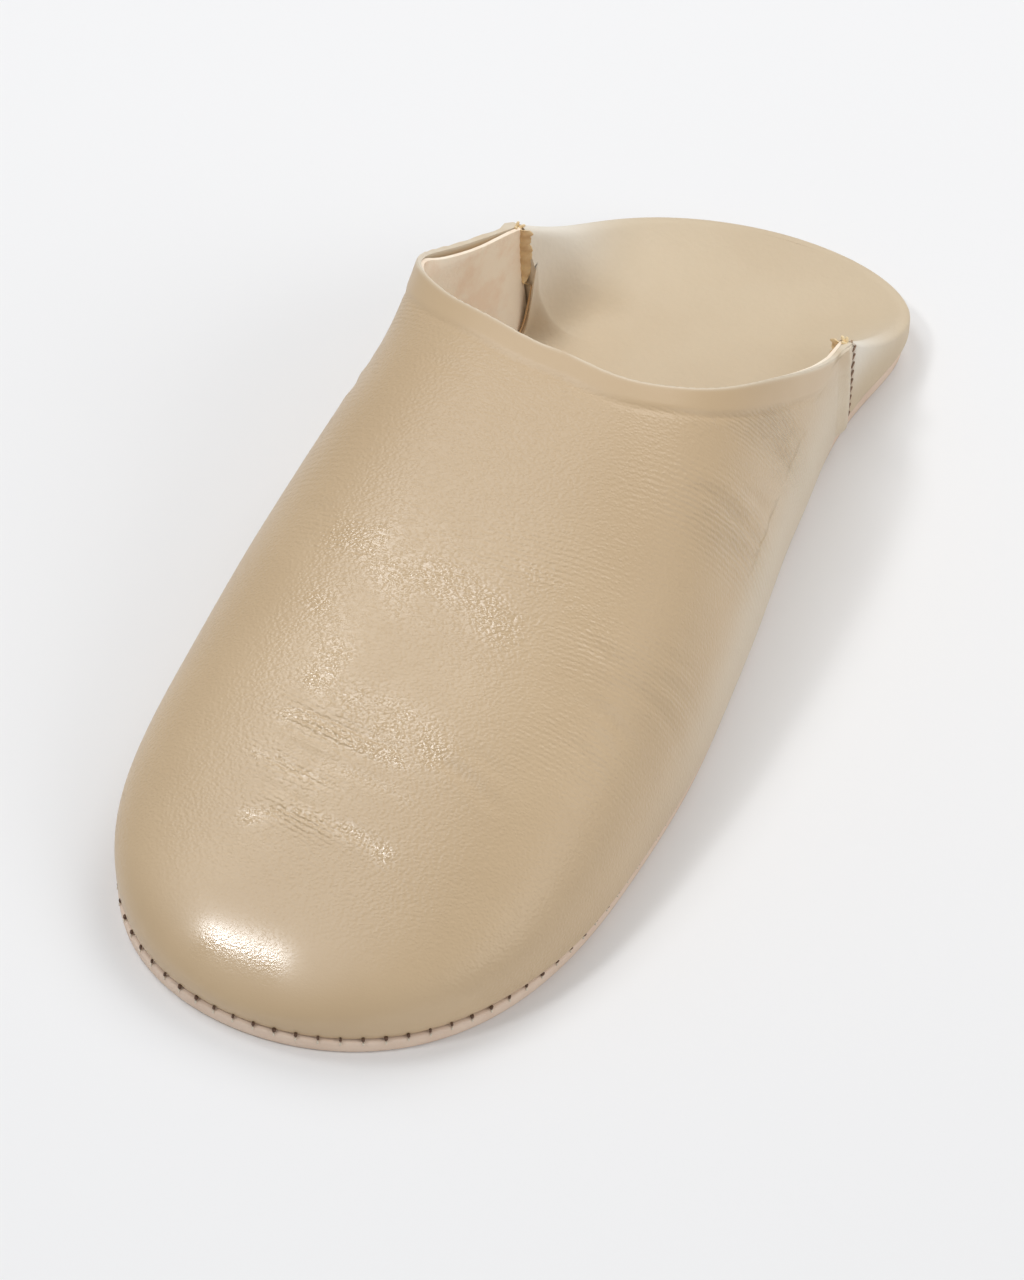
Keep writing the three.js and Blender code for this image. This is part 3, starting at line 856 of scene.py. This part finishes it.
def quarter_side(side, share):
    """One side's wall and fold: levels from the feather line to the fold's shoulder, then a round that
    ends at the slope of the flap inside it. The fold's height falls from the wing to the heel by a
    power of the share still to go, and the wall tucks in a little where it meets the seam."""
    turn = (seam_turn(side) + (pi - seam_turn(side)) * share)[:, None]
    height = HEEL_FOLD_HEIGHT + (wing_height(side) - HEEL_FOLD_HEIGHT) * (1 - share) ** FOLD_DROP[side]
    shoulder = (height - FOLD_ROUND)[:, None]
    level = np.linspace(0, 1, WALL_LEVELS)[None, :] ** 1.3
    wall = wall_point(turn, FEATHER_LEVEL + (shoulder - FEATHER_LEVEL) * level)
    slope = dish_power(share) * (height - SEAT_LEVEL) / DISH_REACH
    ending = pi / 2 + np.arctan(slope * QUARTER_WALL / 2 / FOLD_ROUND)
    angle = ending[:, None] * np.linspace(0, 1, FOLD_STEPS + 1)[1:][None, :]
    inset = QUARTER_WALL * (1 - np.cos(angle)) / 2
    fold = wall_point(turn, shoulder + FOLD_ROUND * np.sin(angle), inset)
    away = np.linalg.norm(wall[:, :, :2] - wall[:1, :, :2], axis=-1)
    wall[..., :2] += inward(turn) * (0.35 * (1 - smoothstep(1.0, 4.0, away)))[..., None]
    return np.concatenate([wall, fold], 1), turn


def dish_shares():
    """Shares of the way across the flap, crowding towards both rims."""
    t = np.linspace(0, 1, DISH_COLUMNS + 1)[1:-1]
    return t - 0.1 * np.sin(2 * pi * t)


def dish(from_rim, to_rim, power):
    """The flap between its rims: straight lines across, their height above the seat a power of how
    near the closest rim is."""
    s = dish_shares()[None, :, None]
    point = from_rim[:, None] * (1 - s) + to_rim[:, None] * s
    height = np.zeros(point.shape[:-1])
    for rim in (from_rim, to_rim):
        gap, share = distance_to_line(point * (1, 1, 0), rim * (1, 1, 0))
        rise = np.interp(share, np.linspace(0, 1, len(rim)), rim[:, 2]) - SEAT_LEVEL
        height = np.maximum(height, rise * np.clip(1 - gap / DISH_REACH, 0, 1) ** power[:, None])
    point[..., 2] = SEAT_LEVEL + height
    return point


def flap_front(rows, edge_line):
    """The flap ahead of the seams: it thins towards its bowed free edge on the insole, and at the
    wings it climbs the lining to meet the first row behind the seams, falling off ahead of them."""
    share = 1 - (1 - np.linspace(0, 1, rows)) ** 1.6
    sides = {}
    for side in (1, -1):
        reach = SEAM[side] + (SEAM_GAP - 0.05) / LENGTH - FLAP_FRONT
        turn = turn_at(FLAP_FRONT + reach * share, side)
        sides[side] = wall_point(turn, SEAT_LEVEL, UPPER_WALL - SEWN_SINK)
    ahead = LENGTH * reach * (1 - share)
    fall = np.exp(-((ahead / CLIMB_REACH) ** 1.5))[:, None]
    s = np.concatenate([np.zeros(SIDE_POINTS), dish_shares(), np.ones(SIDE_POINTS)])[None, :, None]
    point = sides[1][:, None] * (1 - s) + sides[-1][:, None] * s
    climb = np.zeros(point.shape[:2])
    for side in (1, -1):
        line = edge_line[::side][SIDE_POINTS - 2: len(edge_line) // 2]
        inset = np.abs(line[:, 0] - sides[side][-1, 0])
        across = np.abs(point[..., 0] - sides[side][:, None, 0])
        rise = np.interp(across, inset, line[:, 2]) - SEAT_LEVEL
        climb = np.maximum(climb, np.minimum(rise, CLIMB[side] * (1 + across / WEDGE_WIDTH)))
    point[..., 1] -= FLAP_BOW * np.sin(pi * s[..., 0]) * (1 - share[:, None]) ** 2
    thin = SKIVE * (1 - smoothstep(0, 0.6, share))[:, None]
    thickness = FLAP_THICKNESS - thin + climb * fall
    point[..., 2] = FLAP_UNDERSIDE + thickness * over_sides()
    return point


def insole_inset(turn):
    """The wall inside which the insole lies: single at the vamp, and double behind the wings."""
    behind = smoothstep(0.72, SEAM[-1] - 0.01, along_at(turn))
    return UPPER_WALL + (QUARTER_WALL - UPPER_WALL) * behind


def make_quarter(flap):
    """The trodden quarter, as one solid: its walls, folds and flap above, and their foot below. The
    folds are softened by averaging along each row. Returns the rows of the flap ahead of the seams."""
    share = np.linspace(0, 1, QUARTER_ROWS)
    lateral, lateral_turn = quarter_side(1, share)
    medial, medial_turn = quarter_side(-1, share)
    middle = dish(lateral[:, -1], medial[:, -1], dish_power(share))
    back = np.concatenate([lateral, middle, medial[:, ::-1]], 1)
    rounded = slice(WALL_LEVELS + 3, -WALL_LEVELS - 3)
    for _ in range(8):
        softer = (np.roll(back, 1, 1) + 2 * back + np.roll(back, -1, 1)) / 4
        back[:, rounded] = softer[:, rounded]
    front = flap_front(FLAP_ROWS, back[0])
    outside = np.concatenate([front, back])
    under = back.copy()
    under[:, :SIDE_POINTS] = wall_point(lateral_turn, FEATHER_LEVEL, QUARTER_WALL)
    under[:, -SIDE_POINTS:] = wall_point(medial_turn, FEATHER_LEVEL, QUARTER_WALL)
    under[..., 2] = FEATHER_LEVEL + (FLAP_UNDERSIDE - FEATHER_LEVEL) * over_sides()
    under_front = front.copy()
    under_front[..., 2] = FLAP_UNDERSIDE
    inside = np.concatenate([under_front, under])
    # painted sheen: the flap pales towards the tops of its walls
    height = (outside[..., 2] - SEAT_LEVEL) / PAINTED_SHEEN_HEIGHT
    # painted shade on the quarter beside each side seam, where the ridge shades it
    groove = np.zeros(height.shape)
    for side, columns in ((1, slice(0, SIDE_POINTS)), (-1, slice(-SIDE_POINTS, None))):
        seam, _ = distance_to_line(outside[:, columns], seam_line(side))
        groove[:, columns] = bell(seam, 1.6, 0.8)
    layers = {"pale": smoothstep(0.02, 0.75, height) * 0.95, "groove": groove}
    wall_piece(
        "quarter_leather", outside, inside, flap, ["heel_quarter"],
        layers, rims=(True, False), sharp=50,
    )
    return front


# ---- sole and insole ---------------------------------------------------------

def cap_faces(loop, up):
    """Faces straight across a loop from its lateral to its medial side, with a triangle at each end."""
    half = len(loop) // 2
    across = quads(np.stack([loop[1:half], loop[:half:-1]]))[:, ::-1].tolist()
    toe = loop[[0, 1, -1]].tolist()
    heel = loop[[half, half + 1, half - 1]].tolist()
    return [face if up else face[::-1] for face in (*across, toe, heel)]


def round_turn(points):
    """Turns once round the outline, from the toe."""
    return np.linspace(0, 2 * pi, points, endpoint=False)


def flat_piece(name, profile, turn, inset, finish, replaced):
    """A flat piece: a profile of insets and levels carried round the plan outline, its top and
    bottom closed by faces straight across from the lateral to the medial side."""
    points = len(turn)
    rings = np.stack([wall_point(turn, FEATHER_LEVEL, inset + more) for more, _ in profile])
    rings[..., 2] = np.array([level for _, level in profile])[:, None]
    index = np.arange(rings.shape[0] * points).reshape(rings.shape[0], points)
    wrapped = np.concatenate([index, index[:, :1]], 1)
    faces = quads(wrapped)[:, ::-1].tolist() + cap_faces(index[0], False) + cap_faces(index[-1], True)
    make_piece(name, rings.reshape(-1, 3), faces, finish, replaced)


def make_sole(tan):
    """The sole: a ledge beyond the outline all round, with worn lower and upper edges."""
    profile = [(7, 0), (1.1, 0), (0.35, 0.12), (0.05, 0.5), (0, 1.2), (0, SOLE_TOP - 0.8),
               (0.1, SOLE_TOP - 0.35), (0.4, SOLE_TOP - 0.08), (1.0, SOLE_TOP), (7, SOLE_TOP)]
    turn = round_turn(360)
    flat_piece("sole_leather", profile, turn, -SOLE_LEDGE, tan, ["outsole"])


def make_insole(natural):
    """The insole: inside the walls by the fitting gap, its edges eased."""
    profile = [(6, FEATHER_LEVEL), (0.2, FEATHER_LEVEL), (0, FEATHER_LEVEL + 0.3),
               (0, INSOLE_TOP - 0.3), (0.3, INSOLE_TOP), (6, INSOLE_TOP)]
    turn = round_turn(260)
    inset = insole_inset(turn) + FIT_GAP
    flat_piece("insole_leather", profile, turn, inset, natural, ["insole"])


# ---- threads -----------------------------------------------------------------

def make_threads(name, starts, ends, radius, finish, around=8, rings=7):
    """Round-ended threads between pairs of points: rings along each thread's own line, whose radius
    swells from nothing at both ends as the root of 1 less a fourth power."""
    s = np.linspace(0, 1, rings)
    swell = np.sqrt(np.clip(1 - np.abs(2 * s - 1) ** 4, 0, 1))
    line = ends - starts
    length = np.linalg.norm(line, axis=-1, keepdims=True)
    line = line / length
    side = np.cross(line, (0.31, 0.17, 0.93))
    side /= np.linalg.norm(side, axis=-1, keepdims=True)
    other = np.cross(line, side)
    angle = np.linspace(0, 2 * pi, around, endpoint=False)[:, None]
    ring = side[:, None, None] * np.cos(angle) + other[:, None, None] * np.sin(angle)
    centre = starts[:, None] + (ends - starts)[:, None] * s[None, :, None]
    points = centre[:, :, None] + ring * np.reshape(radius, (-1, 1, 1, 1)) * swell[None, :, None, None]
    index = np.arange(rings * around).reshape(rings, around)
    wrapped = np.concatenate([index, index[:, :1]], 1)
    single = quads(wrapped)[:, ::-1]
    first = index.size * np.arange(len(starts))
    faces = (single + first[:, None, None]).reshape(-1, 4).tolist()
    make_piece(name, points.reshape(-1, 3), faces, finish)


TOE_PITCH = 4.5
TOE_STITCHED = {1: 0.75, -1: 0.74}  # how far back the stitches round the toe go on each side
SEAM_PITCH = 2.5
STITCH_RADIUS = 0.36
FINE_RADIUS = 0.24
END_RADIUS = 0.38
THREAD_ENDS = [(-1.4, 0.7, 1.0), (0.3, 1.2, 0.3), (0.9, 0.5, 1.8)]  # how far back, up and in each goes


def turns_along_feather(start, end, pitch):
    """Turns spaced evenly along the feather line."""
    turn = np.linspace(start, end, 2000)
    line = wall_point(turn, FEATHER_LEVEL)
    length = np.concatenate([[0], np.cumsum(np.linalg.norm(np.diff(line, axis=0), axis=-1))])
    return np.interp(np.arange(pitch / 2, length[-1], pitch), length, turn)


def make_toe_stitches(dark, pale):
    """Stitches round the toe, each from the foot of the vamp down to the sole's ledge, where a
    little of the pale thread goes on to its edge."""
    medial = float(turn_at(TOE_STITCHED[-1], -1)) - 2 * pi
    turn = turns_along_feather(medial, float(turn_at(TOE_STITCHED[1], 1)), TOE_PITCH)
    lean = 0.12 * np.sin(37 * turn) / LENGTH
    starts = wall_point(turn, FEATHER_LEVEL + 0.85, -0.1)
    ends = wall_point(turn + lean, FEATHER_LEVEL, -0.66)
    ends[:, 2] = SOLE_TOP + 0.1
    make_threads("toe_stitches", starts, ends, STITCH_RADIUS + 0.07 * np.sin(91 * turn), dark)
    starts = wall_point(turn, FEATHER_LEVEL, -0.74)
    starts[:, 2] = SOLE_TOP + 0.05
    ends = wall_point(turn, FEATHER_LEVEL, -SOLE_LEDGE - 0.05)
    ends[:, 2] = SOLE_TOP - 0.9
    make_threads("toe_thread", starts, ends, FINE_RADIUS, pale)


def make_seam_stitches(dark):
    """Stitches across each side seam, from the vamp's ridge to the quarter."""
    starts, ends = [], []
    for side in (1, -1):
        top = wing_height(side) - 1.5
        level = np.arange(WIDEST_LEVEL + 1, top, SEAM_PITCH)
        starts.append(wall_point(turn_at(SEAM[side] - 0.6 / LENGTH, side), level, -0.25))
        ends.append(wall_point(turn_at(SEAM[side] + 2.5 / LENGTH, side), level - 0.3, 0.15))
    make_threads("seam_stitches", np.concatenate(starts), np.concatenate(ends), FINE_RADIUS, dark)


def make_seam_folds(shade):
    """The leather turned in along each side seam, seen down between its two edges: a strip of the wall from
    just ahead of the seam to behind it, within its thickness. Its dark colour is painted shade in the
    seam's gap."""
    for side, name in ((1, "seam_fold_lateral"), (-1, "seam_fold_medial")):
        top = wing_height(side) - 0.4
        level = np.linspace(top, FEATHER_LEVEL + 0.2, 40)[:, None]
        turn = turn_at(SEAM[side] + np.linspace(-0.8, 1.4, 5) / LENGTH, side)
        outside = wall_point(turn, level, 0.55)
        inside = wall_point(turn, level, 1.0)
        if side < 0:
            outside, inside = inside, outside
        wall_piece(name, outside, inside, shade)


def make_seam_allowances(ochre, front):
    """The raw seam edges inside each wing: a ragged wedge between the lining and the flap, widest at the
    top and narrowing by a power of the share, then a thin line down where the flap lies against the lining,
    darkened as painted shade. Across its width it bulges as a half sine, with a small wave down its length."""
    for side, name in ((1, "seam_edge_lateral"), (-1, "seam_edge_medial")):
        corner = front[::-1, SIDE_POINTS - 1] if side > 0 else front[::-1, -SIDE_POINTS]
        corner = corner[corner[:, 2] > SEAT_LEVEL - 0.5 * SKIVE]
        s = np.linspace(0, 1, 50)
        top = wing_height(side) - 0.5
        level = top + (corner[0, 2] - top) * s
        upper = wall_point(turn_at(SEAM[side] - 0.4 / LENGTH, side), level, UPPER_WALL + 0.1)
        lower = corner[1:] + (0, -0.25, 0.15)
        line = np.concatenate([upper, lower])
        ragged = 0.30 * np.sin(17 * s + 1) + 0.20 * np.sin(41 * s) + 0.12 * np.sin(83 * s + 2)
        wedge = WEDGE_WIDTH * (1 - 0.95 * s**4) * smoothstep(-0.10, 0.06, s) + 0.6 + ragged * (1 - s)
        width = np.concatenate([wedge, np.full(len(lower), 0.5)])[:, None]
        w = np.linspace(0, 1, 9)[None, :]
        inner = np.array([-1.0 * side, 0.25, 0.0])
        out = np.array([-0.3 * side, -0.8, 0.45])
        wave = np.sin(0.9 * np.arange(len(line))[:, None] + 5 * w)
        lift = 0.25 + 0.45 * np.sin(pi * w) + 0.12 * wave
        outside = line[:, None] + inner * (w * width)[..., None] + out * lift[..., None]
        inside = outside - out * 0.6
        # stripes of mottle on the wedge, and painted shade on the line below it
        shade = np.concatenate([0.1 + 0.3 * np.sin(13 * s) ** 4, np.full(len(lower), 0.75)])
        layers = {"painted_shade_and_mottle": np.repeat(shade[:, None], 9, 1)}
        if side > 0:
            outside, inside = inside, outside
        wall_piece(name, outside, inside, ochre, layers=layers)


def make_thread_ends(ochre):
    """A few raw thread ends standing over the top of each wing."""
    starts, ends = [], []
    for side in (1, -1):
        top = wing_height(side)
        for i, (back, rise, lean) in enumerate(THREAD_ENDS):
            starts.append(wall_point(turn_at(SEAM[side] - 0.2 / LENGTH, side), top - 0.6, 1.0 + 0.3 * i))
            ends.append(wall_point(turn_at(SEAM[side] + back / LENGTH, side), top + rise, 1.4 + lean))
    make_threads("thread_ends", np.array(starts), np.array(ends), END_RADIUS, ochre)


# ---- the scene ---------------------------------------------------------------

WARM_WHITE = (1, 0.99, 0.98)
COOL_WHITE = (0.97, 0.985, 1)
SKY_WHITE = (0.985, 0.99, 1.0)
PAPER_WHITE = (0.86, 0.86, 0.865)
FLOOR_REACH = 4
SENSOR_HEIGHT = 36  # millimetres, as is the lens
CAMERA_LENS = 132
CAMERA_AIM = (0.0098, -0.0315, 0.025)  # metres, as is the distance
CAMERA_DISTANCE = 0.987
CAMERA_AZIMUTH = 26.46
CAMERA_ELEVATION = 44.49


def hang(name, data, azimuth, elevation, distance, aim=(0, 0, 0)):
    """A light or camera on a sphere round its aim, facing it; azimuth 0 is in front of the toe."""
    made = bpy.data.objects.new(name, data)
    around, above = radians(azimuth), radians(elevation)
    way = Vector((sin(around) * cos(above), -cos(around) * cos(above), sin(above)))
    made.location = Vector(aim) + way * distance
    made.rotation_euler = way.to_track_quat("Z", "Y").to_euler()
    bpy.context.scene.collection.objects.link(made)
    return made


def area_light(name, azimuth, elevation, distance, size, power, colour=WARM_WHITE):
    """A rectangular light, its size in metres and its power in watts."""
    light = bpy.data.lights.new(name, "AREA")
    light.shape = "RECTANGLE"
    light.size, light.size_y = size
    light.energy = power
    light.color = colour
    hang(name, light, azimuth, elevation, distance)


def make_floor():
    """A square of matt white paper."""
    reach = FLOOR_REACH
    mesh = bpy.data.meshes.new("floor")
    corners = [(-reach, -reach, 0), (reach, -reach, 0), (reach, reach, 0), (-reach, reach, 0)]
    mesh.from_pydata(corners, [], [(0, 1, 2, 3)])
    floor = bpy.data.objects.new("floor", mesh)
    bpy.context.scene.collection.objects.link(floor)
    paper = Finish("floor_paper")
    grain = paper.bump(paper.noise(paper.place(), 2.0), 0.01)
    mesh.materials.append(paper.surface(PAPER_WHITE, 0.9, grain))


def make_studio():
    """A pale room all round, two lights that strike sparks off the finish, and two softboxes."""
    world = bpy.data.worlds.new("studio")
    world.use_nodes = True
    background = world.node_tree.nodes["Background"]
    background.inputs["Color"].default_value = (*SKY_WHITE, 1)
    background.inputs["Strength"].default_value = 0.43
    bpy.context.scene.world = world
    area_light("toe_spark", -46, 58, 1.6, (0.22, 0.22), 4.4, COOL_WHITE)
    area_light("ridge_spark", -106, 65, 1.6, (0.44, 0.56), 5.2, COOL_WHITE)
    area_light("back_softbox", 178, 46, 1.6, (0.9, 0.8), 7.3)
    area_light("right_wall", 84, 33, 1.7, (1.3, 0.9), 6.3)


def make_camera():
    """A long lens, from in front and above."""
    data = bpy.data.cameras.new("camera")
    data.sensor_fit = "VERTICAL"
    data.sensor_height = SENSOR_HEIGHT
    data.lens = CAMERA_LENS
    camera = hang("camera", data, CAMERA_AZIMUTH, CAMERA_ELEVATION, CAMERA_DISTANCE, CAMERA_AIM)
    bpy.context.scene.camera = camera


bpy.context.scene.view_settings.view_transform = "Standard"
make_camera()
make_floor()
make_studio()
sand = sand_leather()
flap = flap_leather()
lining = natural_leather("lining_leather", LINING, LINING_DEEP, 0.6)
sole_tan = natural_leather("sole_tan", SOLE_TAN, SOLE_DEEP, 0.35)
insole_natural = natural_leather("insole_natural", NATURAL, NATURAL_DEEP, 0.6)
ochre = natural_leather("raw_edge", OCHRE, OCHRE_DEEP, 0.4)
dark_thread = thread_finish("waxed_thread", DARK_THREAD, 0.55)
pale_thread = thread_finish("pale_thread", PALE_THREAD, 0.6)
make_vamp_leather(sand)
make_vamp_lining(lining)
flap_rows = make_quarter(flap)
make_sole(sole_tan)
make_insole(insole_natural)
make_toe_stitches(dark_thread, pale_thread)
make_seam_stitches(thread_finish("seam_thread", SEAM_THREAD, 0.6))
make_seam_folds(thread_finish("seam_shade", SEAM_SHADE, 0.8))
make_seam_allowances(ochre, flap_rows)
make_thread_ends(ochre)
